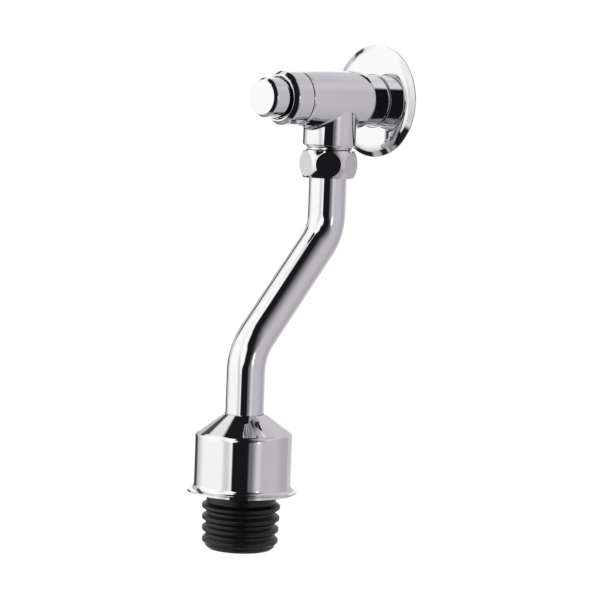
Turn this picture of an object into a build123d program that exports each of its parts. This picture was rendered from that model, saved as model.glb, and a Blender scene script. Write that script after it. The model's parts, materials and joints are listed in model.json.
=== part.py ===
from build123d import *
import math
import os

# A wall-mounted, self-closing urinal flush valve with a push button, its flush tube,
# the bell cover and the rubber plug that goes into the urinal.
# Sizes are millimetres. The wall is the plane Y = 0 and the valve stands out of it
# along -Y. The valve's axis passes through the origin, and +Z is up.
# Along the valve's axis, places are distances out from the wall.

# Fits and gaps
turned_fit = 0.05           # radial gap of inner pieces that are turned to a fit
running_gap = 0.08          # radial gap of pieces that slide or turn in each other
loose_gap = 0.3             # gap of covers that slip over a round piece
seat_gap = 0.3              # gap between a loose cover and what carries it
polished_edge = 0.3         # rounding left on a corner by polishing

# Wall connection
thread_radius = 10.48       # half-inch pipe thread, outside
thread_length = 14.0
thread_lead = 0.9           # bevel at the thread's start

# Valve body
neck_radius = 13.0
neck_length = 13.7
barrel_radius = 14.5
barrel_length = 42.4
barrel_front_radius = 13.8
barrel_straight = 24.7      # length behind which the barrel starts to taper forward
barrel_rear_round = 1.3
barrel_front_bevel = 0.5
taper_blend = 200.0         # radius that blends the straight part into the taper

# Bores of the valve body
inlet_radius = 6.5
strainer_pocket_radius = 7.6
strainer_pocket_depth = 10.0
chamber_radius = 9.2        # inlet side of the seat
body_bore_radius = 11.2     # holds the cartridge
socket_radius = 12.05       # takes the bonnet's screwed skirt
socket_depth = 9.7
shoulder_inset = 3.2        # from the barrel's rear to the cartridge's stop

# Branch that carries the flush tube
branch_inset = 18.3         # from the barrel's rear to the branch's axis
branch_radius = 13.5
branch_fillet = 2.0         # where the branch grows out of the barrel
branch_drop = 23.1          # from the valve's axis to the branch's lower edge
branch_bevel = 0.6
branch_thread_radius = 11.7
branch_thread_length = 9.6
branch_bore_radius = 8.6

# Cartridge sleeve
sleeve_wall = 1.3
sleeve_seat_length = 6.0
sleeve_flange_thickness = 2.5
sleeve_nose_length = 5.5
sleeve_nose_radius = 10.4
dashpot_radius = 8.6
window_count = 4
window_angle = 58.0
window_margin = 1.5
ring_groove_width = 1.9
ring_groove_inset = 2.2
ring_wire_radius = 0.78
gland_length = 3.0
gland_radius = 9.2
gland_ring_wire_radius = 0.42
stem_seal_wire_radius = 0.72

# Seat ring and the washer that closes on it
seat_nose = 0.8
seat_bore_radius = 5.5
seat_lip_radius = 6.3
seat_ring_radius = 7.0
seat_ring_length = 4.5      # inside the sleeve
washer_radius = 7.2
washer_thickness = 3.0
cup_radius = 7.9
cup_base = 1.5
cup_rim = 1.7
stem_collar_radius = 4.0
stem_collar_length = 1.0
stem_nut_flats = 7.0
stem_nut_height = 3.2
stem_tip_length = 0.8
stem_tip_radius = 2.0
chamber_end_gap = 0.7

# Stem and dashpot piston
stem_radius = 2.5
piston_plate = 1.3
piston_hub_length = 2.4
piston_hub_radius = 5.2
piston_end_gap = 0.2
lip_wall = 0.8
clip_thickness = 0.6
clip_radius = 4.4
clip_neck_radius = 1.9
clip_mouth = 3.0
piston_run_gap = 1.0

# Bonnet
bonnet_length = 12.8
bonnet_front_bevel = 1.5
bonnet_rear_bevel = 0.35
bonnet_lip = 1.35           # flat ring between the mouth and the bevel
bonnet_mouth_gap = 1.1      # round the button
bonnet_mouth_depth = 3.0
front_edge_round = 1.4      # where a front bevel runs into the side, on bonnet and button
bonnet_skirt_wall = 1.0

# Push button
stroke = 6.5
button_radius = 9.6
button_proud = 10.0         # out of the bonnet's face at rest
button_edge_bevel = 1.5
button_wall = 0.8
button_flange_radius = 10.6
button_flange_thickness = 1.5
press_margin = 0.5          # left between the button and the cartridge when pressed
core_disc = 3.0
core_hub_radius = 4.5
core_hub_length = 9.0
core_cover = 0.6            # plastic left over the stem's end

# Return spring
spring_radius = 6.2
spring_wire_radius = 0.5
spring_turns = 6

# Inlet strainer
strainer_rim = 1.2
strainer_wall = 0.8
strainer_basket_radius = 5.6
strainer_length = 8.0
strainer_slots = 8
strainer_slot_width = 1.6
strainer_end_band = 1.2

# Wall flange
flange_radius = 28.6
flange_edge = 0.5           # height of the plain edge off the wall
flange_bevel_run = 4.2      # from the flat face out to the edge
flange_height = 2.6
flange_sheet = 0.8
flange_collar = 1.7         # length of the turned-in collar round the neck
flange_bevel_blend = 8.0

# Coupling
gasket_thickness = 1.8
collar_thickness = 1.8
collar_radius = 11.3
nut_flats = 26.5
nut_ball_radius = 14.67
nut_height = 13.8
nut_lip = 3.0
nut_facing = 46.0           # turn of one flat from straight out of the wall

# Flush tube
tube_radius = 9.525         # three-quarter-inch tube, outside
tube_wall = 1.0
upper_leg = 31.9            # from the tube's top to the first corner of its centreline
offset_out = 51.2
offset_drop = 58.4
lower_leg = 75.2
upper_bend_radius = 23.0
lower_bend_radius = 27.0

# Rubber plug
plug_below_tube = 22.7
plug_grip = 41.05           # length of tube inside the plug
plug_bore_radius = 8.6
plug_radius = 17.2
plug_sleeve_radius = 13.0   # the part up inside the bell cover
plug_sleeve_slope = 4.0
plug_root_length = 34.0     # from the plug's end to the top of its thick part
rib_count = 4
rib_pitch = 5.6
rib_radius = 19.4
rib_taper = 0.2             # each rib is this much smaller than the one above
rib_base = 4.4
rib_top = 1.5
rib_round = 0.6
first_rib = 20.9            # from the plug's end up to the top rib
plug_edge_bevel = 1.2

# Bell cover
bell_sheet = 1.0
bell_top_radius = 10.5
bell_cone_run = 1.42        # outward run for each millimetre of fall
bell_radius = 24.1
bell_shoulder_round = 3.0
bell_skirt_end = 37.0       # from the bell's top down to the flare's corner
bell_rim_radius = 27.3
bell_flare_round = 2.6
bell_rim_fall = 0.5
bell_lip = 1.0

# Radii of the bonnet, from the button outwards
bonnet_mouth_radius = button_radius + bonnet_mouth_gap
bonnet_face_radius = bonnet_mouth_radius + bonnet_lip
bonnet_radius = bonnet_face_radius + bonnet_front_bevel

# Places along the valve's axis, out from the wall
barrel_front = neck_length + barrel_length
taper_start = neck_length + barrel_straight
branch_out = neck_length + branch_inset
sleeve_rear = neck_length + shoulder_inset
sleeve_flange_rear = barrel_front - socket_depth
skirt_end = sleeve_flange_rear + sleeve_flange_thickness
sleeve_front = skirt_end + sleeve_nose_length
gland_rear = sleeve_front - gland_length
seat_face = sleeve_rear - seat_nose
washer_rear = seat_face - washer_thickness
cup_rear = washer_rear - cup_base
stem_nut_rear = cup_rear - stem_nut_height
stem_rear = stem_nut_rear - stem_tip_length
chamber_rear = stem_rear - stroke - chamber_end_gap
clip_front = gland_rear - piston_end_gap
piston_front = clip_front - clip_thickness
piston_rear = piston_front - piston_hub_length - piston_plate
window_rear = sleeve_rear + sleeve_seat_length + window_margin
window_front = piston_rear - stroke - piston_run_gap
bonnet_front = barrel_front + bonnet_length
bonnet_land_rear = sleeve_front + press_margin + stroke + button_flange_thickness
bonnet_land_front = bonnet_front - bonnet_mouth_depth
button_rear = bonnet_land_rear - button_flange_thickness
button_front = bonnet_front + button_proud
core_front = button_front - button_wall
core_disc_rear = core_front - core_disc
stem_front = core_front - core_cover

# Heights along the branch, below the valve's axis
branch_end = -branch_drop - branch_thread_length
gasket_bottom = branch_end - gasket_thickness
collar_bottom = gasket_bottom - collar_thickness
nut_bottom = collar_bottom - nut_lip
upper_corner = gasket_bottom - upper_leg
lower_corner = upper_corner - offset_drop
tube_end = lower_corner - lower_leg
tube_out = branch_out + offset_out
plug_bottom = tube_end - plug_below_tube
plug_top = tube_end + plug_grip

# The bell cover's cone lies just over the top edge of the plug's sleeve.
cone_angle = math.atan(1 / bell_cone_run)
cone_sheet_drop = bell_sheet / math.cos(cone_angle)
bell_hole_radius = tube_radius + loose_gap
bell_top = (plug_top + seat_gap + cone_sheet_drop
            + (plug_sleeve_radius - bell_top_radius) / bell_cone_run)

# A 45 degree bevel is smaller on the inside of an even wall, by this share of the wall.
bevel_loss = 2 - math.sqrt(2)

VALVE_AXIS = Axis((0, 0, 0), (0, -1, 0))
RING_SIDES = 8              # flats of a squeezed rubber ring's section, and of the spring's wire


def half_section(corners):
    """A closed outline from (first, second) or (first, second, rounding) corners."""
    points = [corner[:2] for corner in corners]
    rounds = [corner[2] if len(corner) > 2 else 0.0 for corner in corners]
    return make_face(FilletPolyline(*points, radius=rounds, close=True))


def turned_on_valve(corners):
    """Revolve corners given as (distance out from the wall, radius)."""
    section_plane = Plane(origin=(0, 0, 0), x_dir=(0, -1, 0), z_dir=(-1, 0, 0))
    return revolve(section_plane * half_section(corners), VALVE_AXIS, 360)


def turned_upright(corners, out):
    """Revolve corners given as (radius, height) about an upright axis in front of the wall."""
    section_plane = Plane(origin=(0, -out, 0), x_dir=(1, 0, 0), z_dir=(0, -1, 0))
    return revolve(section_plane * half_section(corners), Axis((0, -out, 0), (0, 0, 1)), 360)


def ring_on_valve(out, centre_radius, wire_radius):
    """A rubber ring about the valve's axis, flattened a little where its groove squeezes it."""
    eighth = 360 / RING_SIDES
    corners = []
    for index in range(RING_SIDES):
        turn = math.radians((index + 0.5) * eighth)
        corners.append((out + wire_radius * math.cos(turn), centre_radius + wire_radius * math.sin(turn)))
    return turned_on_valve(corners)


def tube_on_valve(rear, front, outer, inner):
    """A plain round sleeve about the valve's axis."""
    return turned_on_valve([(rear, inner), (front, inner), (front, outer), (rear, outer)])


def valve_body():
    outside = turned_on_valve([
        (-thread_length, 0),
        (barrel_front, 0),
        (barrel_front, barrel_front_radius - barrel_front_bevel),
        (barrel_front - barrel_front_bevel, barrel_front_radius),
        (taper_start, barrel_radius, taper_blend),
        (neck_length, barrel_radius, barrel_rear_round),
        (neck_length, neck_radius),
        (0, neck_radius),
        (0, thread_radius),
        (thread_lead - thread_length, thread_radius),
        (-thread_length, thread_radius - thread_lead),
    ])
    branch = turned_upright([
        (0, 0),
        (branch_radius, 0),
        (branch_radius, branch_bevel - branch_drop),
        (branch_radius - branch_bevel, -branch_drop),
        (branch_thread_radius, -branch_drop),
        (branch_thread_radius, branch_end + branch_bevel),
        (branch_thread_radius - branch_bevel, branch_end),
        (0, branch_end),
    ], branch_out)
    casting = outside + branch
    casting = fillet(new_edges(outside, branch, combined=casting), branch_fillet)
    chamber_cone = chamber_radius - inlet_radius
    bore = turned_on_valve([
        (-thread_length, 0),
        (barrel_front, 0),
        (barrel_front, socket_radius),
        (sleeve_flange_rear, socket_radius),
        (sleeve_flange_rear, body_bore_radius),
        (sleeve_rear, body_bore_radius),
        (sleeve_rear, chamber_radius),
        (chamber_rear, chamber_radius),
        (chamber_rear - chamber_cone, inlet_radius),
        (strainer_pocket_depth - thread_length, inlet_radius),
        (strainer_pocket_depth - thread_length, strainer_pocket_radius),
        (-thread_length, strainer_pocket_radius),
    ])
    branch_bore = turned_upright([
        (0, 0),
        (branch_bore_radius, 0),
        (branch_bore_radius, branch_end),
        (0, branch_end),
    ], branch_out)
    return casting - bore - branch_bore


def inlet_strainer():
    rear = strainer_end_band - thread_length
    rim_radius = strainer_pocket_radius - turned_fit
    basket_inside = strainer_basket_radius - strainer_wall
    rim_front = rear + strainer_rim
    front = rear + strainer_length
    basket = turned_on_valve([
        (rear, basket_inside),
        (front - strainer_wall, basket_inside),
        (front - strainer_wall, 0),
        (front, 0),
        (front, strainer_basket_radius),
        (rim_front, strainer_basket_radius),
        (rim_front, rim_radius),
        (rear, rim_radius),
    ])
    slot_length = front - rim_front - 2 * strainer_end_band
    slot_middle = (front + rim_front) / 2
    for index in range(strainer_slots):
        slot = Box(strainer_slot_width, slot_length, strainer_basket_radius)
        slot = Pos(0, -slot_middle, strainer_basket_radius) * slot
        basket -= Rot(0, index * 360 / strainer_slots, 0) * slot
    return basket


def sleeve_ring_places():
    """The two places along the axis where the sleeve's sealing rings lie."""
    rear_ring = sleeve_rear + ring_groove_inset + ring_groove_width / 2
    front_ring = sleeve_flange_rear - ring_groove_inset
    return rear_ring, front_ring


def cartridge_sleeve():
    outside = body_bore_radius - turned_fit
    waist = dashpot_radius + sleeve_wall
    rear_ring, front_ring = sleeve_ring_places()
    groove_floor = outside + turned_fit - 2 * ring_wire_radius - turned_fit
    half_groove = ring_groove_width / 2
    waist_rear = sleeve_rear + sleeve_seat_length
    waist_front = front_ring - ring_groove_width
    sleeve = turned_on_valve([
        (sleeve_rear, seat_ring_radius),
        (sleeve_rear + seat_ring_length, seat_ring_radius),
        (sleeve_rear + seat_ring_length, seat_bore_radius),
        (waist_rear, seat_bore_radius),
        (waist_rear + window_margin, dashpot_radius),
        (gland_rear, dashpot_radius),
        (gland_rear, gland_radius),
        (sleeve_front, gland_radius),
        (sleeve_front, sleeve_nose_radius),
        (skirt_end, sleeve_nose_radius),
        (skirt_end, socket_radius - turned_fit),
        (sleeve_flange_rear, socket_radius - turned_fit),
        (sleeve_flange_rear, outside),
        (front_ring + half_groove, outside),
        (front_ring + half_groove, groove_floor),
        (front_ring - half_groove, groove_floor),
        (front_ring - half_groove, outside),
        (waist_front, outside),
        (waist_front, waist),
        (waist_rear, waist),
        (waist_rear, outside),
        (rear_ring + half_groove, outside),
        (rear_ring + half_groove, groove_floor),
        (rear_ring - half_groove, groove_floor),
        (rear_ring - half_groove, outside),
        (sleeve_rear, outside),
    ])
    window_length = window_front - window_rear
    window_width = 2 * waist * math.sin(math.radians(window_angle / 2))
    for index in range(window_count):
        window = Box(window_width, window_length, waist)
        window = Pos(0, -(window_rear + window_length / 2), -waist) * window
        sleeve -= Rot(0, index * 360 / window_count, 0) * window
    return sleeve


def sleeve_o_ring(out):
    ring_centre = body_bore_radius - turned_fit / 2 - ring_wire_radius
    return ring_on_valve(out, ring_centre, ring_wire_radius - turned_fit / 2)


def seat_ring():
    outside = seat_ring_radius - turned_fit
    return turned_on_valve([
        (seat_face, seat_bore_radius),
        (sleeve_rear + seat_ring_length, seat_bore_radius),
        (sleeve_rear + seat_ring_length, outside),
        (sleeve_rear, outside),
        (seat_face, seat_lip_radius),
    ])


def gland_seal_places():
    """Middle of the gland's two ring grooves along the axis, and half their width."""
    middle = (gland_rear + sleeve_front) / 2
    return middle, stem_seal_wire_radius + turned_fit


def gland_cap():
    outside = gland_radius - turned_fit
    bore = stem_radius + running_gap
    middle, half_seal = gland_seal_places()
    half_ring = gland_ring_wire_radius + turned_fit
    ring_floor = gland_radius - 2 * half_ring
    seal_floor = bore + 2 * stem_seal_wire_radius + turned_fit
    return turned_on_valve([
        (gland_rear, bore),
        (middle - half_seal, bore),
        (middle - half_seal, seal_floor),
        (middle + half_seal, seal_floor),
        (middle + half_seal, bore),
        (sleeve_front, bore),
        (sleeve_front, outside),
        (middle + half_ring, outside),
        (middle + half_ring, ring_floor),
        (middle - half_ring, ring_floor),
        (middle - half_ring, outside),
        (gland_rear, outside),
    ])


def gland_o_ring():
    middle, half_seal = gland_seal_places()
    centre = gland_radius - turned_fit - gland_ring_wire_radius
    return ring_on_valve(middle, centre, gland_ring_wire_radius)


def stem_seal():
    middle, half_seal = gland_seal_places()
    centre = stem_radius + running_gap + stem_seal_wire_radius
    return ring_on_valve(middle, centre, stem_seal_wire_radius)


def bonnet():
    skirt_radius = socket_radius - turned_fit
    skirt_inside = skirt_radius - bonnet_skirt_wall
    land = button_radius + running_gap
    mouth_step = bonnet_mouth_radius - land
    return turned_on_valve([
        (skirt_end, skirt_inside),
        (bonnet_land_rear, skirt_inside),
        (bonnet_land_rear, land),
        (bonnet_land_front, land),
        (bonnet_land_front + mouth_step, bonnet_mouth_radius),
        (bonnet_front, bonnet_mouth_radius),
        (bonnet_front, bonnet_face_radius, polished_edge),
        (bonnet_front - bonnet_front_bevel, bonnet_radius, front_edge_round),
        (barrel_front + bonnet_rear_bevel, bonnet_radius),
        (barrel_front, bonnet_radius - bonnet_rear_bevel),
        (barrel_front, skirt_radius),
        (skirt_end, skirt_radius),
    ])


def button_cap():
    inside = button_radius - button_wall
    corner_bevel = button_edge_bevel - bevel_loss * button_wall
    return turned_on_valve([
        (button_rear, inside),
        (core_front - corner_bevel, inside),
        (core_front, inside - corner_bevel),
        (core_front, 0),
        (button_front, 0),
        (button_front, button_radius - button_edge_bevel, polished_edge),
        (button_front - button_edge_bevel, button_radius, front_edge_round),
        (bonnet_land_rear, button_radius),
        (bonnet_land_rear, button_flange_radius),
        (button_rear, button_flange_radius),
    ])


def button_core():
    disc_radius = button_radius - button_wall - turned_fit
    bore = stem_radius + turned_fit
    corner_bevel = button_edge_bevel - bevel_loss * button_wall
    hub_rear = core_disc_rear - core_hub_length
    return turned_on_valve([
        (hub_rear, bore),
        (stem_front, bore),
        (stem_front, 0),
        (core_front, 0),
        (core_front, disc_radius - corner_bevel),
        (core_front - corner_bevel, disc_radius),
        (core_disc_rear, disc_radius),
        (core_disc_rear, core_hub_radius),
        (hub_rear, core_hub_radius),
    ])


def stem():
    collar_front = seat_face + stem_collar_length
    clip_rear = clip_front - clip_thickness
    tip_bevel = stem_tip_radius / 5
    return turned_on_valve([
        (stem_rear, 0),
        (stem_rear, stem_tip_radius - tip_bevel),
        (stem_rear + tip_bevel, stem_tip_radius),
        (seat_face, stem_tip_radius),
        (seat_face, stem_collar_radius),
        (collar_front, stem_collar_radius),
        (collar_front, stem_radius),
        (clip_rear, stem_radius),
        (clip_rear, clip_neck_radius),
        (clip_front, clip_neck_radius),
        (clip_front, stem_radius),
        (stem_front, stem_radius),
        (stem_front, 0),
    ])


def piston():
    bore = stem_radius + turned_fit
    plate_front = piston_rear + piston_plate
    return turned_on_valve([
        (piston_rear, bore),
        (piston_front, bore),
        (piston_front, piston_hub_radius),
        (plate_front, piston_hub_radius),
        (plate_front, dashpot_radius - running_gap),
        (piston_rear, dashpot_radius - running_gap),
    ])


def piston_lip_seal():
    rear = piston_rear + piston_plate
    inner = piston_hub_radius + turned_fit
    outer = dashpot_radius - running_gap
    web = rear + lip_wall
    return turned_on_valve([
        (rear, inner),
        (piston_front, inner),
        (piston_front, inner + lip_wall),
        (web, inner + lip_wall),
        (web, outer - lip_wall),
        (piston_front, outer - lip_wall / 2),
        (piston_front, outer),
        (rear, outer),
    ])


def piston_clip():
    neck = clip_neck_radius + turned_fit
    ring = tube_on_valve(piston_front, clip_front, clip_radius, neck)
    mouth = Box(clip_mouth, 2 * clip_thickness, clip_radius)
    return ring - Pos(0, -(piston_front + clip_front) / 2, -clip_radius / 2 - neck / 2) * mouth


def washer_cup():
    bore = stem_tip_radius + turned_fit
    rim_inside = washer_radius + turned_fit
    return turned_on_valve([
        (cup_rear, bore),
        (washer_rear, bore),
        (washer_rear, rim_inside),
        (washer_rear + cup_rim, rim_inside),
        (washer_rear + cup_rim, cup_radius),
        (cup_rear, cup_radius),
    ])


def seat_washer():
    bore = stem_tip_radius + turned_fit
    return tube_on_valve(washer_rear, seat_face, washer_radius, bore)


def stem_nut():
    plane = Plane(origin=(0, -stem_nut_rear, 0), x_dir=(1, 0, 0), z_dir=(0, -1, 0))
    blank = extrude(plane * RegularPolygon(stem_nut_flats / 2, 6, major_radius=False), stem_nut_height)
    return blank - tube_on_valve(stem_nut_rear, cup_rear, stem_tip_radius + turned_fit, 0)


def return_spring():
    """An open coil that stands on the gland and pushes on the button's core."""
    rise = core_disc_rear - sleeve_front - 2 * spring_wire_radius
    coil = Helix(rise / spring_turns, rise, spring_radius)
    start_plane = Plane(origin=coil @ 0, z_dir=coil % 0)
    wire = sweep(start_plane * RegularPolygon(spring_wire_radius, RING_SIDES), path=coil, is_frenet=True)
    seat_plane = Plane(origin=(0, -sleeve_front - spring_wire_radius, 0), x_dir=(1, 0, 0), z_dir=(0, -1, 0))
    return seat_plane * wire


def wall_flange():
    """A spun cover: plain edge, bevel, flat face and a turned-in collar round the neck."""
    hole = neck_radius + loose_gap
    inner_face = flange_height - flange_sheet
    face_radius = flange_radius - flange_bevel_run
    return turned_on_valve([
        (0, flange_radius),
        (flange_edge, flange_radius, flange_edge / 2),
        (flange_height, face_radius, flange_bevel_blend),
        (flange_height, hole, flange_sheet * 0.8),
        (flange_height - flange_collar, hole),
        (flange_height - flange_collar, hole + flange_sheet),
        (inner_face, hole + flange_sheet),
        (inner_face, face_radius - flange_sheet / 4),
        (flange_edge - flange_sheet / 2, flange_radius - flange_sheet),
        (0, flange_radius - flange_sheet),
    ])


def coupling_nut():
    """A hexagon whose corners are turned to a ball, with an inward lip at the bottom."""
    nut_top = nut_bottom + nut_height
    hexagon = RegularPolygon(nut_flats / 2, 6, major_radius=False)
    blank = extrude(hexagon, nut_height)
    ball = Pos(0, 0, nut_height / 2) * Sphere(nut_ball_radius)
    blank = Pos(0, -branch_out, nut_bottom) * Rot(0, 0, nut_facing) * (blank & ball)
    bore = turned_upright([
        (0, nut_bottom),
        (tube_radius + loose_gap, nut_bottom),
        (tube_radius + loose_gap, collar_bottom),
        (branch_thread_radius + running_gap, collar_bottom),
        (branch_thread_radius + running_gap, nut_top),
        (0, nut_top),
    ], branch_out)
    return blank - bore


def flush_tube():
    path = FilletPolyline(
        (0, -branch_out, gasket_bottom),
        (0, -branch_out, upper_corner),
        (0, -tube_out, lower_corner),
        (0, -tube_out, tube_end),
        radius=[upper_bend_radius, lower_bend_radius],
    )
    start = Plane(origin=(0, -branch_out, gasket_bottom), z_dir=(0, 0, -1))
    outside = sweep(start * Circle(tube_radius), path=path)
    inside = sweep(start * Circle(tube_radius - tube_wall), path=path)
    return outside - inside


def tube_collar():
    bore = tube_radius + turned_fit
    return turned_upright([
        (bore, collar_bottom),
        (collar_radius, collar_bottom),
        (collar_radius, gasket_bottom),
        (bore, gasket_bottom),
    ], branch_out)


def tube_gasket():
    return turned_upright([
        (branch_bore_radius, gasket_bottom),
        (collar_radius, gasket_bottom),
        (collar_radius, branch_end),
        (branch_bore_radius, branch_end),
    ], branch_out)


def rubber_plug():
    shoulder = plug_bottom + plug_root_length
    bore = tube_radius + turned_fit
    plug = turned_upright([
        (plug_bore_radius, plug_bottom),
        (plug_radius - plug_edge_bevel, plug_bottom),
        (plug_radius, plug_bottom + plug_edge_bevel),
        (plug_radius, shoulder),
        (plug_sleeve_radius, shoulder + plug_sleeve_slope),
        (plug_sleeve_radius, plug_top),
        (bore, plug_top),
        (bore, tube_end),
        (plug_bore_radius, tube_end),
    ], tube_out)
    root = plug_radius - plug_edge_bevel
    for index in range(rib_count):
        middle = plug_bottom + first_rib - index * rib_pitch
        tip = rib_radius - index * rib_taper
        plug += turned_upright([
            (root, middle - rib_base / 2),
            (plug_radius, middle - rib_base / 2),
            (tip, middle - rib_top / 2, rib_round),
            (tip, middle + rib_top / 2, rib_round),
            (plug_radius, middle + rib_base / 2),
            (root, middle + rib_base / 2),
        ], tube_out)
    return plug


def bell_cover():
    """A spun bell: cone, rounded shoulder, straight skirt and a flared rim, all one sheet."""
    shoulder = bell_top - (bell_radius - bell_top_radius) / bell_cone_run
    flare = bell_top - bell_skirt_end
    rim = flare - bell_rim_fall
    inner = bell_radius - bell_sheet
    flare_round = min(bell_flare_round, bell_rim_radius - bell_radius)
    inner_shoulder = shoulder - cone_sheet_drop + bell_sheet / bell_cone_run
    inner_top = bell_top - cone_sheet_drop + (bell_top_radius - bell_hole_radius) / bell_cone_run
    return turned_upright([
        (bell_hole_radius, bell_top),
        (bell_top_radius, bell_top),
        (bell_radius, shoulder, bell_shoulder_round),
        (bell_radius, flare, flare_round),
        (bell_rim_radius, rim),
        (bell_rim_radius, rim - bell_lip),
        (inner, flare - bell_lip, flare_round + bell_sheet),
        (inner, inner_shoulder, bell_shoulder_round - bell_sheet),
        (bell_hole_radius, inner_top),
    ], tube_out)


def build_all():
    rear_ring, front_ring = sleeve_ring_places()
    return {
        "valve_body": valve_body(),
        "inlet_strainer": inlet_strainer(),
        "cartridge_sleeve": cartridge_sleeve(),
        "sleeve_o_ring_rear": sleeve_o_ring(rear_ring),
        "sleeve_o_ring_front": sleeve_o_ring(front_ring),
        "seat_ring": seat_ring(),
        "gland_cap": gland_cap(),
        "gland_o_ring": gland_o_ring(),
        "stem_seal": stem_seal(),
        "bonnet": bonnet(),
        "button_cap": button_cap(),
        "button_core": button_core(),
        "stem": stem(),
        "piston": piston(),
        "piston_lip_seal": piston_lip_seal(),
        "piston_clip": piston_clip(),
        "washer_cup": washer_cup(),
        "seat_washer": seat_washer(),
        "stem_nut": stem_nut(),
        "return_spring": return_spring(),
        "wall_flange": wall_flange(),
        "coupling_nut": coupling_nut(),
        "flush_tube": flush_tube(),
        "tube_collar": tube_collar(),
        "tube_gasket": tube_gasket(),
        "rubber_plug": rubber_plug(),
        "bell_cover": bell_cover(),
    }


os.makedirs("parts", exist_ok=True)
for node, solid in build_all().items():
    export_step(solid, f"parts/{node}.step")
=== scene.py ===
import json
import math

import bpy
from mathutils import Matrix, Vector


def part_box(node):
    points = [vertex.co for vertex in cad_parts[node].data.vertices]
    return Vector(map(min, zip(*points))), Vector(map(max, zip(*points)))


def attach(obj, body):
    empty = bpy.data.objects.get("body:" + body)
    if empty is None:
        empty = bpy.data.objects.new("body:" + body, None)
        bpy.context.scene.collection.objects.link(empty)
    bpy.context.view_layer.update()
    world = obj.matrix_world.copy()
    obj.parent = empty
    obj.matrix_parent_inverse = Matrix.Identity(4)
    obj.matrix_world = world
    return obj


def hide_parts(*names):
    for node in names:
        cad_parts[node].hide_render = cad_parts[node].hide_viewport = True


# A wall-mounted push-button urinal flush valve in polished chrome, with its cranked flush tube,
# bell cover and ribbed rubber plug. Sizes are metres. The wall is the plane Y = 0, the valve
# stands out of it along -Y, and +Z is up.

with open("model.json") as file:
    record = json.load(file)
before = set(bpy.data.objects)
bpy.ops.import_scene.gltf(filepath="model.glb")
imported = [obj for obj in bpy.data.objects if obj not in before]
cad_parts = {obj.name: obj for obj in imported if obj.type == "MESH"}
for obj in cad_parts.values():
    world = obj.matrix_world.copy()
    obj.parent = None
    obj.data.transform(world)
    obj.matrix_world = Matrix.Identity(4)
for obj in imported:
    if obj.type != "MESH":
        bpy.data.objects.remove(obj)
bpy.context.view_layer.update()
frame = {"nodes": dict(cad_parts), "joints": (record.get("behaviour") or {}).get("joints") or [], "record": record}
nodes = frame["nodes"]
joints = {joint["name"]: joint for joint in frame["joints"]}

MM = 0.001

# Points of a mesh that lie closer than this are joined
close = 0.001 * MM

# Axes of the branch and of the tube's lower leg, and the ends of the threads, read from the frame.
# The tube swivels at the underside of its gasket, and the branch ends at the gasket's top.
gasket_thickness = 1.8 * MM
branch_y = joints["tube_swivel"]["pos_m"][1]
branch_end = joints["tube_swivel"]["pos_m"][2] + gasket_thickness
plug_low, plug_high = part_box("rubber_plug")
leg_y = (plug_low.y + plug_high.y) / 2
wall_thread_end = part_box("valve_body")[1].y

# Threads on the casting
wall_thread_radius = 10.48 * MM
wall_thread_pitch = 1.81 * MM
wall_thread_depth = 1.16 * MM
wall_thread_lead = 0.9 * MM
branch_thread_radius = 11.7 * MM
branch_thread_length = 9.6 * MM
branch_thread_pitch = 1.5 * MM
branch_thread_depth = 0.85 * MM
branch_thread_lead = 0.6 * MM
thread_steps = 72

# Turned front pieces
turning_steps = 128
edge_steps = 4
side_steps = 9
bevel_angle = math.radians(51)
smooth_angle = math.radians(25)

# Colours and brightness in the studio
mauve = (0.552, 0.532, 0.566, 1)
mauve_near_wall = (0.44, 0.425, 0.45, 1)
mauve_low = (0.34, 0.325, 0.35, 1)
mauve_high = (0.62, 0.605, 0.63, 1)
pale_backdrop = (0.96, 0.95, 0.96, 1)
wall_foot_black = (0.03, 0.03, 0.032, 1)
stand_black = (0.03, 0.03, 0.033, 1)
ground_black = (0.014, 0.014, 0.016, 1)
ground_spot = (0.6, 0.6, 0.6, 1)
gap_black = (0.010, 0.010, 0.012, 1)
strip_white = (1.0, 0.99, 1.0, 1)
lamp_white = (3.0, 3.0, 3.0, 1)
ceiling_black = (0.012, 0.012, 0.014, 1)
panel_white = 1.06
studio_strength = 1.36


def camera():
    """The photograph's camera: a long lens, almost level, turned a little about its own axis."""
    azimuth = math.radians(46.69)
    elevation = math.radians(5.41)
    roll = math.radians(2.14)
    distance = 1112.8 * MM
    target = Vector((0, -57.4 * MM, -100 * MM))
    focal_pixels = 2228.8
    picture = 600
    centre_pixel = (286.63, 299.26)
    data = bpy.data.cameras.new("camera")
    data.sensor_width = 36
    data.lens = focal_pixels * data.sensor_width / picture
    data.shift_x = (picture / 2 - centre_pixel[0]) / picture
    data.shift_y = (centre_pixel[1] - picture / 2) / picture
    data.clip_start = 0.02
    data.clip_end = 30
    back = Vector((math.sin(azimuth) * math.cos(elevation),
                   -math.cos(azimuth) * math.cos(elevation), math.sin(elevation)))
    right = (-back).cross(Vector((0, 0, 1))).normalized()
    up = right.cross(-back)
    turned_right = right * math.cos(roll) + up * math.sin(roll)
    turned_up = up * math.cos(roll) - right * math.sin(roll)
    camera_object = bpy.data.objects.new("camera", data)
    bpy.context.scene.collection.objects.link(camera_object)
    turn = Matrix((turned_right, turned_up, back)).transposed()
    camera_object.matrix_world = Matrix.Translation(target + back * distance) @ turn.to_4x4()
    bpy.context.scene.camera = camera_object


camera()


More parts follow.
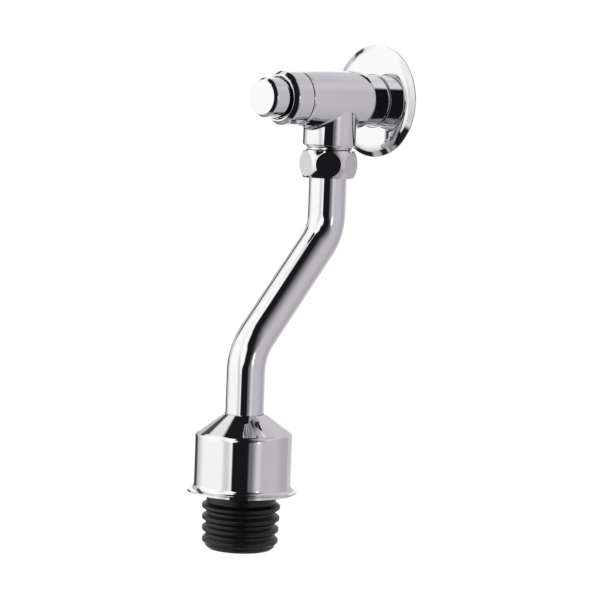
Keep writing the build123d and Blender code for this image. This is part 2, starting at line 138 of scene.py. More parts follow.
class Tree:
    """Short calls that add and join shader nodes."""

    def __init__(self, node_tree):
        self.tree = node_tree

    def node(self, kind, **values):
        made = self.tree.nodes.new(kind)
        for name, value in values.items():
            setattr(made, name, value)
        return made

    def join(self, source, target):
        self.tree.links.new(source, target)

    def fill(self, socket, value):
        """Sets a socket to a number or vector, or joins another node's output to it."""
        if isinstance(value, bpy.types.NodeSocket):
            self.join(value, socket)
        else:
            socket.default_value = value

    def math(self, operation, first, second=0.0):
        made = self.node("ShaderNodeMath", operation=operation)
        self.fill(made.inputs[0], first)
        self.fill(made.inputs[1], second)
        return made.outputs[0]

    def plus(self, first, second):
        return self.math("ADD", first, second)

    def minus(self, first, second):
        return self.math("SUBTRACT", first, second)

    def times(self, first, *others):
        for other in others:
            first = self.math("MULTIPLY", first, other)
        return first

    def largest(self, first, *others):
        for other in others:
            first = self.math("MAXIMUM", first, other)
        return first

    def per_metre(self, size):
        """How many marks of a size fit in a metre, which is the scale of their pattern."""
        return self.math("DIVIDE", 1.0, size)

    def length(self, vector):
        made = self.node("ShaderNodeVectorMath", operation="LENGTH")
        self.join(vector, made.inputs[0])
        return made.outputs["Value"]

    def steps(self, value, low, high, start=0.0, end=1.0):
        """Turns a value from low to high into a number from start to end, with soft ends."""
        made = self.node("ShaderNodeMapRange", interpolation_type="SMOOTHSTEP")
        for name, number in (("Value", value), ("From Min", low), ("From Max", high),
                             ("To Min", start), ("To Max", end)):
            self.fill(made.inputs[name], number)
        return made.outputs["Result"]

    def window(self, value, low, high, soft):
        """1 between low and high and 0 outside, each edge soft over the given width."""
        rise = self.steps(value, low - soft / 2, low + soft / 2)
        fall = self.steps(value, high - soft / 2, high + soft / 2, 1.0, 0.0)
        return self.times(rise, fall)

    def blend(self, share, first, second):
        """A colour that goes from first to second with the share."""
        made = self.node("ShaderNodeMix", data_type="RGBA")
        self.fill(made.inputs["Factor"], share)
        self.fill(made.inputs["A"], first)
        self.fill(made.inputs["B"], second)
        return made.outputs["Result"]

    def mix_shaders(self, share, first, second):
        """A shader that goes from first to second with the share."""
        made = self.node("ShaderNodeMixShader")
        self.join(share, made.inputs[0])
        self.join(first, made.inputs[1])
        self.join(second, made.inputs[2])
        return made.outputs[0]

    def camera_ray(self):
        """1 for what is looked at directly, 0 in reflections and in the light that falls on things."""
        return self.node("ShaderNodeLightPath").outputs["Is Camera Ray"]

    def noise(self, place, scale, detail=2.0, roughness=0.5):
        made = self.node("ShaderNodeTexNoise")
        self.fill(made.inputs["Vector"], place)
        self.fill(made.inputs["Scale"], scale)
        self.fill(made.inputs["Detail"], detail)
        self.fill(made.inputs["Roughness"], roughness)
        return made.outputs["Fac"]

    def stretched(self, place, scale, centre=(0, 0, 0)):
        """Object coordinates measured from a centre, with each direction scaled."""
        made = self.node("ShaderNodeMapping", vector_type="POINT")
        self.fill(made.inputs["Vector"], place)
        made.inputs["Scale"].default_value = scale
        made.inputs["Location"].default_value = [-c * s for c, s in zip(centre, scale)]
        return made.outputs["Vector"]


def directions(t):
    """The direction looked in, as its side and its height in degrees."""
    degrees = 180 / math.pi
    split = t.node("ShaderNodeSeparateXYZ")
    t.join(t.node("ShaderNodeTexCoord").outputs["Generated"], split.inputs[0])
    forward = t.times(split.outputs["Y"], -1.0)
    side = t.times(t.math("ARCTAN2", split.outputs["X"], forward), degrees)
    height = t.times(t.math("ARCSINE", split.outputs["Z"]), degrees)
    return side, height


def mauve_sheet(t, side, height):
    """A sheet round the right and the rear, with a pale backdrop and the wall's dark foot at the left."""
    near_wall = t.steps(side, 124, 164)
    low_right = t.times(t.window(side, 66, 116, 36), t.steps(height, -8, -20))
    high_band = t.window(height, 27, 50, 26)
    backdrop = t.times(t.steps(side, -146, -134), t.steps(side, -107, -117))
    wall_foot = t.times(t.steps(side, -150, -168), t.steps(height, -36, -44))
    sheet = t.blend(near_wall, mauve, mauve_near_wall)
    sheet = t.blend(low_right, sheet, mauve_low)
    sheet = t.blend(high_band, sheet, mauve_high)
    sheet = t.blend(backdrop, sheet, pale_backdrop)
    return t.blend(wall_foot, sheet, wall_foot_black)


def white_panel(t, side, height, behind):
    """The wide panel: duller towards its left end and its lower edge, and a little beside the gap."""
    left_end = t.steps(height, 0, 48, 0.54, 0.84)
    from_left = t.steps(side, -88, -54, left_end, panel_white)
    from_below = t.steps(height, -42, 2, 0.60, 1.0)
    gap_lean = 0.4
    near_gap = t.window(t.plus(side, t.times(height, gap_lean)), -3, 13, 10)
    gap_shade = t.times(near_gap, t.steps(height, 8, 26, 0.30, 0.12))
    bright = t.times(from_left, from_below, t.minus(1.0, gap_shade))
    panel = t.node("ShaderNodeCombineColor")
    for colour in ("Red", "Green", "Blue"):
        t.join(bright, panel.inputs[colour])
    inside = t.times(t.steps(side, -112, -98), t.steps(side, 40, 34))
    return t.blend(inside, behind, panel.outputs["Color"])


def panel_stand(t, side, height, behind):
    """The panel's dark stand at its left end: a post, a leg below it, a bent arm and a soft shade.

    The arm is level as far as its bend, and slopes down to the right of it."""
    cover = 0.94
    shade_cover = 0.20
    arm_height = 36.0
    arm_bend = -100.0
    arm_slope = 0.55
    post = t.times(t.window(side, -109, -88, 6), t.window(height, -27, 1, 5))
    leg = t.times(t.window(side, -114, -103, 5), t.window(height, -64, -27, 8))
    fall = t.times(t.largest(side, arm_bend), arm_slope)
    off_arm = t.plus(t.minus(height, arm_height + arm_slope * arm_bend), fall)
    arm = t.times(t.window(side, -117, -75, 4), t.window(off_arm, -6.5, 8.5, 4))
    shade = t.times(t.window(side, -112, -92, 14), shade_cover)
    below_top = t.steps(height, 40, 47, 1.0, 0.0)
    share = t.times(t.largest(post, leg, arm, shade), below_top, cover)
    return t.blend(share, behind, stand_black)


def dark_ground(t, side, height, behind):
    """The dark room below the panel, with a pale spot straight under it.

    Its left end leans to the right on its way down."""
    soft = 2.5
    lean = 1.4
    lean_start = -42.0
    spot_share = 0.75
    right_edge = t.steps(side, -38, 0, -34.0, -23.0)
    left_edge = t.steps(side, -80, -52, -24.0, -35.0)
    under = t.steps(t.minus(t.largest(right_edge, left_edge), height), -soft, soft)
    depth = t.largest(t.minus(lean_start, height), 0.0)
    from_left = t.steps(t.minus(side, t.times(depth, lean)), -90, -78)
    from_right = t.steps(side, 77, 63)
    ground = t.blend(t.times(from_left, from_right, under), behind, ground_black)
    spot = t.times(t.window(side, -58, -45, 5), t.window(height, -42, -32, 5), spot_share)
    return t.blend(spot, ground, ground_spot)


def camera_gap(t, side, height, behind):
    """The dark gap at the camera: its left side leans right with height, its right side fades out."""
    left_side = 23.5
    lean = 0.08
    lean_back = 0.8
    lean_back_start = 48.0
    bulge = t.times(t.window(height, 4, 28, 12), 9.0)
    leaning = t.plus(bulge, t.times(height, lean))
    leaning_back = t.times(t.largest(t.minus(height, lean_back_start), 0.0), lean_back)
    across = t.plus(t.minus(side, leaning), leaning_back)
    soft = t.steps(height, -6, 30, 2.0, 5.0)
    gap = t.steps(across, t.minus(left_side, soft), t.plus(left_side, soft))
    fade_end = t.plus(84.0, t.times(t.window(height, 8, 66, 14), 30.0))
    fade = t.math("POWER", t.steps(side, 56, fade_end), 1.6)
    paler_foot = t.times(t.steps(side, 59, 65), t.steps(height, 6, -2), 0.30)
    share = t.times(gap, t.minus(1.0, t.largest(fade, paler_foot)))
    return t.blend(share, behind, gap_black)


def strip_light(t, side, height, behind):
    """A soft upright strip light beside the gap, with a small bright lamp in its middle."""
    strip_share = 0.32
    strip = t.times(t.window(side, 80, 91, 10), t.window(height, -20, 10, 14), strip_share)
    lamp = t.times(t.window(side, 82, 87, 3), t.window(height, 0, 8, 4))
    return t.blend(lamp, t.blend(strip, behind, strip_white), lamp_white)


def ceiling(t, side, height, behind):
    """The dark room overhead, which starts lower at the left and the front than at the rear."""
    lower_left = t.times(t.steps(side, -35, -85), 6.0)
    lower_front = t.times(t.window(side, -25, 55, 30), 3.0)
    higher_rear = t.times(t.steps(t.math("ABSOLUTE", side), 120, 150), 6.0)
    up = t.minus(t.plus(height, t.plus(lower_left, lower_front)), higher_rear)
    return t.blend(t.steps(up, 66, 71), behind, ceiling_black)


def studio():
    """Soft panels round the valve, each placed by its direction from it, in degrees.

    Side 0 is straight out from the wall and 90 is to +X. The camera stands in a dark gap at the
    right end of a wide white panel, beside a narrow strip light and a pale mauve-grey sheet."""
    world = bpy.data.worlds.new("studio")
    bpy.context.scene.world = world
    world.use_nodes = True
    world.node_tree.nodes.clear()
    t = Tree(world.node_tree)
    side, height = directions(t)
    lit = mauve_sheet(t, side, height)
    for in_front in (white_panel, panel_stand, dark_ground, camera_gap, strip_light, ceiling):
        lit = in_front(t, side, height, lit)

    room = t.node("ShaderNodeBackground")
    t.join(lit, room.inputs["Color"])
    room.inputs["Strength"].default_value = studio_strength
    white = t.node("ShaderNodeBackground")
    white.inputs["Color"].default_value = (1, 1, 1, 1)
    seen = t.mix_shaders(t.camera_ray(), room.outputs[0], white.outputs[0])
    t.join(seen, t.node("ShaderNodeOutputWorld").inputs["Surface"])


def floor():
    """A pale round sheet on the ground, well below the plug, faded out at its rim."""
    radius = 0.36
    fade_start = radius * 0.6
    fade_end = radius * 0.98
    drop = 0.6
    aside = 0.10
    whiteness = 0.85
    bpy.ops.object.select_all(action="DESELECT")
    bpy.ops.mesh.primitive_circle_add(vertices=96, radius=radius, fill_type="NGON",
                                      location=(-aside, leg_y, plug_low.z - drop))
    bpy.ops.object.transform_apply(location=True)
    sheet = bpy.context.object
    sheet.name = "floor"
    material, t, shader = new_material("floor_paper", (0.5, 0.5, 0.5), 0.0, 0.6)
    sheet.data.materials.append(material)
    centred = t.stretched(t.node("ShaderNodeTexCoord").outputs["Object"], (1, 1, 0), (-aside, leg_y, 0))
    rim = t.steps(t.length(centred), fade_start, fade_end)
    white = t.node("ShaderNodeEmission")
    clear = t.node("ShaderNodeBsdfTransparent")
    paper = t.mix_shaders(t.times(t.camera_ray(), whiteness), shader.outputs[0], white.outputs[0])
    t.join(t.mix_shaders(rim, paper, clear.outputs[0]), t.output.inputs["Surface"])


def new_material(name, colour, metallic, roughness):
    """A material with one main shader, ready for its own nodes."""
    material = bpy.data.materials.new(name)
    material.use_nodes = True
    material.node_tree.nodes.clear()
    t = Tree(material.node_tree)
    shader = t.node("ShaderNodeBsdfPrincipled")
    shader.inputs["Base Color"].default_value = (*colour, 1)
    shader.inputs["Metallic"].default_value = metallic
    shader.inputs["Roughness"].default_value = roughness
    t.output = t.node("ShaderNodeOutputMaterial")
    t.join(shader.outputs[0], t.output.inputs["Surface"])
    return material, t, shader


def new_group(name, numbers, outputs):
    """An empty effect that takes the place on the piece and the named numbers, and puts out masks."""
    tree = bpy.data.node_groups.new(name, "ShaderNodeTree")
    tree.interface.new_socket(name="Place", in_out="INPUT", socket_type="NodeSocketVector")
    for label, start in numbers.items():
        socket = tree.interface.new_socket(name=label, in_out="INPUT", socket_type="NodeSocketFloat")
        socket.default_value = start
    for label in outputs:
        tree.interface.new_socket(name=label, in_out="OUTPUT", socket_type="NodeSocketFloat")
    t = Tree(tree)
    t.inside = t.node("NodeGroupInput").outputs
    t.result = t.node("NodeGroupOutput").inputs
    return t


def use(t, group, **values):
    """Places an effect in a material and returns its outputs."""
    made = t.node("ShaderNodeGroup")
    made.node_tree = group.tree
    for name, value in values.items():
        t.fill(made.inputs[name], value)
    return made.outputs


def smudge_effect():
    """Soft patches left by hands and wiping, broken up by fine streaks."""
    t = new_group("smudges", {"Size": 20 * MM, "Cover": 0.5}, ["Mask"])
    scale = t.per_metre(t.inside["Size"])
    cloud = t.noise(t.inside["Place"], scale, 4.0, 0.55)
    patch_start = t.minus(0.75, t.times(t.inside["Cover"], 0.4))
    patch = t.steps(cloud, patch_start, 0.80)
    streaks = t.noise(t.stretched(t.inside["Place"], (1, 1, 9)), t.times(scale, 5.0), 3.0)
    t.join(t.times(patch, t.steps(streaks, 0.3, 0.7, 0.4, 1.0)), t.result["Mask"])
    return t


def polish_effect():
    """Very fine crossing lines left by the polishing mop, and the plating's faint ripple."""
    t = new_group("polishing", {"Spacing": 0.4 * MM, "Ripple": 6 * MM}, ["Lines", "Height"])
    scale = t.per_metre(t.inside["Spacing"])
    along = t.noise(t.stretched(t.inside["Place"], (1, 0.04, 0.04)), scale, 1.0)
    across = t.noise(t.stretched(t.inside["Place"], (0.05, 0.05, 1)), scale, 1.0)
    lines = t.largest(t.steps(along, 0.60, 0.78), t.steps(across, 0.62, 0.80))
    t.join(lines, t.result["Lines"])
    ripple = t.noise(t.inside["Place"], t.per_metre(t.inside["Ripple"]), 1.0, 0.4)
    t.join(ripple, t.result["Height"])
    return t


def turning_effect():
    """Lathe lines round the piece's own axis, which is the Y axis of the place given."""
    t = new_group("turning_lines", {"Spacing": 0.2 * MM}, ["Lines", "Height"])
    split = t.node("ShaderNodeSeparateXYZ")
    t.join(t.inside["Place"], split.inputs[0])
    flat = t.node("ShaderNodeCombineXYZ")
    t.join(split.outputs["X"], flat.inputs["X"])
    t.join(split.outputs["Z"], flat.inputs["Y"])
    rings = t.node("ShaderNodeCombineXYZ")
    t.join(t.length(flat.outputs[0]), rings.inputs["X"])
    t.join(split.outputs["Y"], rings.inputs["Y"])
    lines = t.noise(rings.outputs[0], t.per_metre(t.inside["Spacing"]), 2.0, 0.6)
    t.join(t.steps(lines, 0.45, 0.7), t.result["Lines"])
    t.join(lines, t.result["Height"])
    return t


def grain_effect():
    """The fine pebbled skin of a moulded piece, and its slow unevenness."""
    t = new_group("moulded_skin", {"Size": 0.4 * MM}, ["Height", "Patches"])
    scale = t.per_metre(t.inside["Size"])
    fine = t.noise(t.inside["Place"], scale, 3.0, 0.6)
    slow = t.noise(t.inside["Place"], t.times(scale, 0.06), 3.0)
    t.join(t.plus(t.times(fine, 0.35), t.times(slow, 0.65)), t.result["Height"])
    t.join(t.steps(slow, 0.35, 0.7), t.result["Patches"])
    return t


def dust_effect():
    """Pale dust that settles where surfaces close in on each other, and thinly on what faces up."""
    t = new_group("settled_dust", {"Reach": 3 * MM, "Size": 4 * MM}, ["Mask"])
    hollow = t.node("ShaderNodeAmbientOcclusion", samples=6, only_local=True)
    t.join(t.inside["Reach"], hollow.inputs["Distance"])
    deep = t.steps(hollow.outputs["AO"], 0.85, 0.35)
    normal = t.node("ShaderNodeSeparateXYZ")
    t.join(t.node("ShaderNodeNewGeometry").outputs["Normal"], normal.inputs[0])
    upward = t.times(t.steps(normal.outputs["Z"], 0.3, 0.95), 0.5)
    specks = t.noise(t.inside["Place"], t.per_metre(t.inside["Size"]), 5.0, 0.65)
    broken = t.steps(specks, 0.35, 0.7)
    t.join(t.times(t.largest(deep, upward), broken), t.result["Mask"])
    return t


def wear_effect():
    """Rubbed edges: where the rounded-off normal leaves the true one, broken up by fine noise."""
    t = new_group("edge_wear", {"Width": 0.6 * MM, "Size": 1 * MM}, ["Mask"])
    rounded = t.node("ShaderNodeBevel", samples=4)
    t.join(t.inside["Width"], rounded.inputs["Radius"])
    agree = t.node("ShaderNodeVectorMath", operation="DOT_PRODUCT")
    t.join(rounded.outputs["Normal"], agree.inputs[0])
    t.join(t.node("ShaderNodeNewGeometry").outputs["Normal"], agree.inputs[1])
    edge = t.steps(agree.outputs["Value"], 0.995, 0.90)
    rubbed = t.noise(t.inside["Place"], t.per_metre(t.inside["Size"]), 4.0, 0.6)
    t.join(t.times(edge, t.steps(rubbed, 0.3, 0.6)), t.result["Mask"])
    return t


smudges = smudge_effect()
polishing = polish_effect()
turning_lines = turning_effect()
moulded_skin = grain_effect()
settled_dust = dust_effect()
edge_wear = wear_effect()


def bump(t, shader, height, depth):
    """Raises the surface by a height pattern, depth metres from its lowest to its highest."""
    raised = t.node("ShaderNodeBump")
    raised.inputs["Strength"].default_value = 1.0
    raised.inputs["Distance"].default_value = depth
    t.join(height, raised.inputs["Height"])
    t.join(raised.outputs["Normal"], shader.inputs["Normal"])


def object_place(t, centre=(0, 0, 0)):
    """Object coordinates measured from a centre."""
    place = t.node("ShaderNodeTexCoord").outputs["Object"]
    moved = t.node("ShaderNodeMapping", vector_type="TEXTURE")
    t.join(place, moved.inputs["Vector"])
    moved.inputs["Location"].default_value = centre
    return moved.outputs["Vector"]


def roughen(t, shader, bare, *layers):
    """Sets the roughness: the bare finish's own, plus two masks, each times what it adds."""
    first, second = [t.times(mask, added) for mask, added in layers]
    t.join(t.plus(bare, t.plus(first, second)), shader.inputs["Roughness"])


def chrome():
    """Mirror-polished chrome plate with faint smudges and polishing lines."""
    clean = (0.664, 0.659, 0.668, 1)
    smudged = (0.640, 0.637, 0.640, 1)
    material, t, shader = new_material("chrome_plate", (0.66, 0.655, 0.665), 1.0, 0.03)
    place = object_place(t)
    marks = use(t, smudges, Place=place, Size=16 * MM, Cover=0.55)["Mask"]
    polish = use(t, polishing, Place=place, Spacing=0.5 * MM, Ripple=7 * MM)
    t.join(t.blend(marks, clean, smudged), shader.inputs["Base Color"])
    roughen(t, shader, 0.022, (marks, 0.035), (polish["Lines"], 0.025))
    bump(t, shader, polish["Height"], 0.004 * MM)
    return material


def brass():
    """Turned brass, dulled in patches and bright where edges rub."""
    clean = (0.72, 0.53, 0.25, 1)
    dulled = (0.50, 0.34, 0.15, 1)
    bright = (0.86, 0.70, 0.42, 1)
    material, t, shader = new_material("raw_brass", (0.78, 0.62, 0.34), 1.0, 0.28)
    place = object_place(t)
    lines = use(t, turning_lines, Place=place, Spacing=0.25 * MM)
    marks = use(t, smudges, Place=place, Size=6 * MM, Cover=0.7)["Mask"]
    rubbed = use(t, edge_wear, Place=place, Width=0.4 * MM, Size=1.2 * MM)["Mask"]
    t.join(t.blend(rubbed, t.blend(marks, clean, dulled), bright), shader.inputs["Base Color"])
    roughen(t, shader, 0.20, (marks, 0.22), (lines["Lines"], 0.10))
    bump(t, shader, lines["Height"], 0.02 * MM)
    return material


def stainless():
    """Drawn and turned stainless steel with fine lines round each piece."""
    clean = (0.64, 0.635, 0.63, 1)
    dulled = (0.50, 0.49, 0.48, 1)
    material, t, shader = new_material("stainless", (0.62, 0.62, 0.63), 1.0, 0.24)
    place = object_place(t)
    lines = use(t, turning_lines, Place=place, Spacing=0.12 * MM)
    marks = use(t, smudges, Place=place, Size=8 * MM, Cover=0.5)["Mask"]
    t.join(t.blend(marks, clean, dulled), shader.inputs["Base Color"])
    roughen(t, shader, 0.18, (marks, 0.14), (lines["Lines"], 0.12))
    bump(t, shader, lines["Height"], 0.01 * MM)
    return material


def acetal():
    """Matte off-white moulded plastic, a little yellowed in patches and dusty in its hollows."""
    off_white = (0.82, 0.82, 0.78, 1)
    yellowed = (0.77, 0.76, 0.71, 1)
    dusty = (0.60, 0.55, 0.45, 1)
    dust_cover = 0.6
    material, t, shader = new_material("acetal", (0.80, 0.80, 0.76), 0.0, 0.42)
    place = object_place(t)
    skin = use(t, moulded_skin, Place=place, Size=0.5 * MM)
    dust = use(t, settled_dust, Place=place, Reach=2 * MM, Size=3 * MM)["Mask"]
    clean = t.blend(skin["Patches"], off_white, yellowed)
    t.join(t.blend(t.times(dust, dust_cover), clean, dusty), shader.inputs["Base Color"])
    t.join(t.steps(skin["Height"], 0.3, 0.7, 0.36, 0.52), shader.inputs["Roughness"])
    bump(t, shader, skin["Height"], 0.03 * MM)
    return material


def black_rubber():
    """Satin black rubber: a fine pebbled skin, grey at rubbed rib edges and dusty in the grooves."""
    black = (0.0033, 0.0032, 0.0033, 1)
    faded = (0.0063, 0.0058, 0.0061, 1)
    worn = (0.022, 0.0205, 0.0212, 1)
    dusty = (0.12, 0.11, 0.107, 1)
    wear_cover = 0.35
    dust_cover = 0.06
    material, t, shader = new_material("black_rubber", (0.012, 0.012, 0.013), 0.0, 0.45)
    shader.inputs["Specular IOR Level"].default_value = 0.37
    place = object_place(t, (0, leg_y, 0))
    skin = use(t, moulded_skin, Place=place, Size=0.45 * MM)
    dust = use(t, settled_dust, Place=place, Reach=4 * MM, Size=3 * MM)["Mask"]
    rubbed = use(t, edge_wear, Place=place, Width=1.2 * MM, Size=1.6 * MM)["Mask"]
    clean = t.blend(skin["Patches"], black, faded)
    used = t.blend(t.times(rubbed, wear_cover), clean, worn)
    t.join(t.blend(t.times(dust, dust_cover), used, dusty), shader.inputs["Base Color"])
    rough = t.plus(t.steps(skin["Height"], 0.3, 0.7, 0.33, 0.45), t.times(dust, 0.2))
    t.join(rough, shader.inputs["Roughness"])
    bump(t, shader, skin["Height"], 0.06 * MM)
    return material


def seal_rubber():
    """Matte black seal rubber with a trace of fitting talc."""
    black = (0.018, 0.018, 0.019, 1)
    powdered = (0.30, 0.30, 0.30, 1)
    talc_cover = 0.25
    material, t, shader = new_material("seal_rubber", (0.02, 0.02, 0.021), 0.0, 0.62)
    place = object_place(t)
    skin = use(t, moulded_skin, Place=place, Size=0.3 * MM)
    talc = use(t, smudges, Place=place, Size=3 * MM, Cover=0.6)["Mask"]
    t.join(t.blend(t.times(talc, talc_cover), black, powdered), shader.inputs["Base Color"])
    t.join(t.steps(skin["Height"], 0.3, 0.7, 0.55, 0.72), shader.inputs["Roughness"])
    bump(t, shader, skin["Height"], 0.03 * MM)
    return material


def only(piece):
    """Makes a piece the one selected, active object."""
    bpy.ops.object.select_all(action="DESELECT")
    piece.select_set(True)
    bpy.context.view_layer.objects.active = piece


def pick_faces(piece, wanted):
    """In edit mode, selects the faces whose corners all pass the test given."""
    bpy.ops.mesh.select_mode(type="FACE")
    bpy.ops.mesh.select_all(action="DESELECT")
    bpy.ops.object.mode_set(mode="OBJECT")
    for face in piece.data.polygons:
        face.select = all(wanted(piece.data.vertices[index].co) for index in face.vertices)
    bpy.ops.object.mode_set(mode="EDIT")


def outline(name, points):
    """An open line through the points, extruded from one to the next and left in edit mode."""
    bpy.ops.object.select_all(action="DESELECT")
    bpy.ops.mesh.primitive_plane_add(size=MM)
    piece = bpy.context.object
    piece.name = name
    bpy.ops.object.mode_set(mode="EDIT")
    bpy.ops.mesh.select_all(action="SELECT")
    bpy.ops.mesh.merge(type="CENTER")
    bpy.ops.mesh.select_all(action="SELECT")
    here = Vector(points[0])
    bpy.ops.transform.translate(value=here)
    for point in points[1:]:
        step = Vector(point) - here
        bpy.ops.mesh.extrude_vertices_move(TRANSFORM_OT_translate={"value": step})
        here = Vector(point)
    return piece


def swept(piece, axis, steps, rise=0.0, turns=1):
    """Sweeps an outline round one of its axes, with an even rise in each turn."""
    bpy.ops.object.mode_set(mode="OBJECT")
    bpy.ops.object.modifier_add(type="SCREW")
    screw = piece.modifiers[-1]
    screw.axis = axis
    screw.steps = steps
    screw.render_steps = steps
    screw.screw_offset = rise
    screw.iterations = turns
    screw.use_merge_vertices = True
    screw.merge_threshold = close
    bpy.ops.object.modifier_apply(modifier=screw.name)


def faced_out(piece):
    """Joins a piece's double points and turns its faces outwards."""
    only(piece)
    bpy.ops.object.mode_set(mode="EDIT")
    bpy.ops.mesh.select_all(action="SELECT")
    bpy.ops.mesh.remove_doubles(threshold=2 * close)
    bpy.ops.mesh.select_all(action="SELECT")
    bpy.ops.mesh.normals_make_consistent(inside=False)
    bpy.ops.object.mode_set(mode="OBJECT")


def thread(name, radius, pitch, depth, length, lead):
    """A thread on the Z axis from 0 up to its length: it fades out at 0 and is bevelled at the end."""
    crest = pitch * 0.12
    root = pitch * 0.10
    flank = (pitch - crest - root) / 2
    root_radius = radius - depth
    low = -pitch
    corners = [(radius, 0, low), (radius, 0, low + crest), (root_radius, 0, low + crest + flank),
               (root_radius, 0, low + crest + flank + root), (radius, 0, low + pitch)]
    spare_turns = 2
    piece = outline(name, corners)
    swept(piece, "Z", thread_steps, pitch, math.ceil(length / pitch) + spare_turns)
    run_out = 1.2 * pitch
    for vertex in piece.data.vertices:
        height = min(max(vertex.co.z, 0.0), length)
        distance = math.hypot(vertex.co.x, vertex.co.y)
        largest = radius - max(0.0, lead - (length - height))
        smallest = radius - depth * min(1.0, height / run_out)
        share = min(max(distance, smallest), largest) / distance
        vertex.co = (vertex.co.x * share, vertex.co.y * share, height)
    faced_out(piece)
    return piece


def placed(piece, turn, place):
    """Turns a piece about X and moves it to its place, all in its mesh."""
    only(piece)
    piece.rotation_euler = (turn, 0, 0)
    piece.location = place
    bpy.ops.object.transform_apply(location=True, rotation=True, scale=True)


def merged_copy(node, name):
    """A copy of a CAD piece's mesh with its loose triangles joined, left in edit mode."""
    piece = nodes[node].copy()
    piece.data = nodes[node].data.copy()
    piece.name = name
    bpy.context.scene.collection.objects.link(piece)
    only(piece)
    bpy.ops.object.mode_set(mode="EDIT")
    bpy.ops.mesh.select_all(action="SELECT")
    bpy.ops.mesh.remove_doubles(threshold=close)
    return piece


def even_shading(piece):
    """Shades the casting's rounds evenly, with its sharp edges kept."""
    bpy.ops.object.mode_set(mode="OBJECT")
    bpy.ops.object.modifier_add(type="WEIGHTED_NORMAL")
    piece.modifiers[-1].keep_sharp = True
    bpy.ops.object.modifier_apply(modifier=piece.modifiers[-1].name)


def casting():
    """The valve's body with its two cut threads in place of the plain bands."""
    piece = merged_copy("valve_body", "threaded_casting")
    branch_thread_top = branch_end + branch_thread_length
    near = 0.05 * MM

    def on_wall_thread(place):
        radius = math.hypot(place.x, place.z)
        bevelled = wall_thread_radius - max(0.0, wall_thread_lead - (wall_thread_end - place.y))
        return place.y > -near and abs(radius - bevelled) < near

    def on_branch_thread(place):
        radius = math.hypot(place.x, place.y - branch_y)
        bevelled = branch_thread_radius - max(0.0, branch_thread_lead - (place.z - branch_end))
        return place.z < branch_thread_top + near and abs(radius - bevelled) < near

    pick_faces(piece, lambda place: on_wall_thread(place) or on_branch_thread(place))
    bpy.ops.mesh.delete(type="FACE")
    even_shading(piece)
    wall = thread("wall_thread", wall_thread_radius, wall_thread_pitch, wall_thread_depth,
                  wall_thread_end, wall_thread_lead)
    placed(wall, -math.pi / 2, (0, 0, 0))
    branch = thread("branch_thread", branch_thread_radius, branch_thread_pitch, branch_thread_depth,
                    branch_thread_length, branch_thread_lead)
    placed(branch, math.pi, (0, branch_y, branch_thread_top))
    return piece, wall, branch


def arc(centre, radius, start, end, steps):
    """Points on an arc, as radius and depth, between two angles away from straight forward."""
    points = []
    for step in range(steps + 1):
        angle = start + (end - start) * step / steps
        points.append((centre[0] + radius * math.sin(angle), centre[1] - radius * math.cos(angle)))
    return points


def front_outline(face_radius, face_depth, side_radius, edge_round, side_round):
    """The outline of a turned front: flat face, rounded edge, bevel, and a rounding into the side."""
    edge = arc((face_radius, face_depth + edge_round), edge_round, 0.0, bevel_angle, edge_steps)
    bevel_end = side_radius - side_round * (1 - math.sin(bevel_angle))
    bevel_depth = edge[-1][1] + (bevel_end - edge[-1][0]) * math.tan(bevel_angle)
    side_start = bevel_depth + side_round * math.cos(bevel_angle)
    side_centre = (side_radius - side_round, side_start)
    return edge + arc(side_centre, side_round, bevel_angle, math.pi / 2, side_steps)


def turned(name, front, corners):
    """A piece turned round the valve's axis from an outline of radius and depth behind its front."""
    piece = outline(name, [(radius, front + depth, 0) for radius, depth in corners])
    swept(piece, "Y", turning_steps)
    faced_out(piece)
    bpy.ops.object.shade_smooth_by_angle(angle=smooth_angle)
    return piece


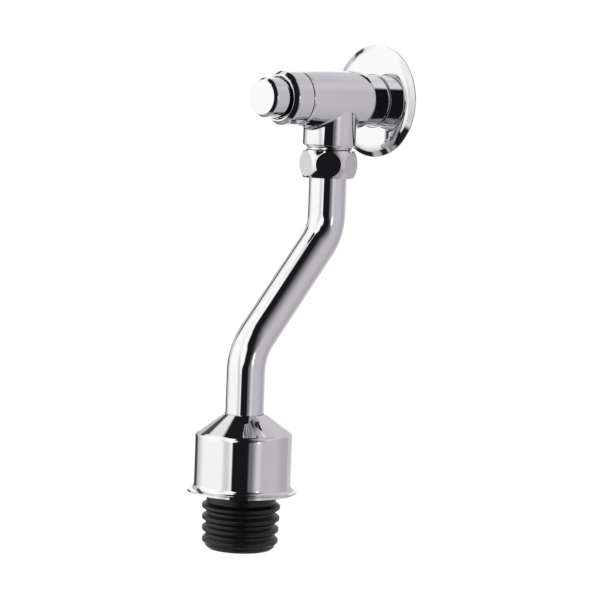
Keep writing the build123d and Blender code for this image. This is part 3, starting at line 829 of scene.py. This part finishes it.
def polished_bonnet():
    """The bonnet with its lip, its wide front bevel and the skirt that screws into the barrel."""
    low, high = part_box("bonnet")
    length = high.y - low.y
    mouth = 10.7 * MM
    mouth_floor = 1.98 * MM
    guide = 9.98 * MM
    guide_start = 3.0 * MM
    guide_end = 6.0 * MM
    skirt_inside = 11.0 * MM
    skirt_outside = 12.0 * MM
    seam = 12.8 * MM
    seam_bevel = 0.35 * MM
    lip_outside = 11.4 * MM
    lip_depth = 0.64 * MM
    lip_edge = 0.12 * MM
    lip_round = 0.3 * MM
    side_round = 2.4 * MM
    front = front_outline(lip_outside, lip_depth, high.x, lip_round, side_round)
    corners = [(mouth, lip_depth + lip_edge), (mouth + lip_edge, lip_depth), *front,
               (high.x, seam - seam_bevel), (high.x - seam_bevel, seam),
               (skirt_outside, seam), (skirt_outside, length), (skirt_inside, length),
               (skirt_inside, guide_end), (guide, guide_end), (guide, guide_start), (mouth, mouth_floor),
               (mouth, lip_depth + lip_edge)]
    return turned("polished_bonnet", low.y, corners)


def polished_button():
    """The button, a turned cup with a flat face, a bevelled edge and a rim inside the bonnet."""
    low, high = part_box("button_cap")
    length = high.y - low.y
    face = 8.4 * MM
    side = 9.9 * MM
    bore = 8.8 * MM
    wall = 0.8 * MM
    cup_cone = 1.2 * MM
    cup_depth = 2.2 * MM
    rim_start = length - 1.5 * MM
    edge_round = 0.2 * MM
    side_round = 1.8 * MM
    front = front_outline(face, 0.0, side, edge_round, side_round)
    corners = [(0.0, 0.0), *front, (side, rim_start), (high.x, rim_start), (high.x, length),
               (bore, length), (bore, cup_depth), (bore - cup_cone, wall), (0.0, wall)]
    return turned("polished_button", low.y, corners)


def coat(piece, slot):
    """Gives a piece the material of its slot."""
    piece.data.materials.clear()
    piece.data.materials.append(materials[slot])


def finished(piece, body_name, slot, *replaced):
    """Gives a new piece its material and the body it moves with."""
    coat(piece, slot)
    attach(piece, body_name)
    if replaced:
        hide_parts(*replaced)


studio()
floor()
materials = {"chrome_plate": chrome(), "raw_brass": brass(), "stainless": stainless(),
             "acetal": acetal(), "black_rubber": black_rubber(), "seal_rubber": seal_rubber()}
for subpart in frame["record"]["subparts"]:
    coat(nodes[subpart["node"]], subpart["material_slot"])

finished(polished_bonnet(), "valve", "chrome_plate", "bonnet")
finished(polished_button(), "plunger", "chrome_plate", "button_cap")
body, wall, branch = casting()
finished(body, "valve", "chrome_plate", "valve_body")
for piece in (wall, branch):
    finished(piece, "valve", "chrome_plate")

bpy.context.scene.view_settings.view_transform = "Standard"
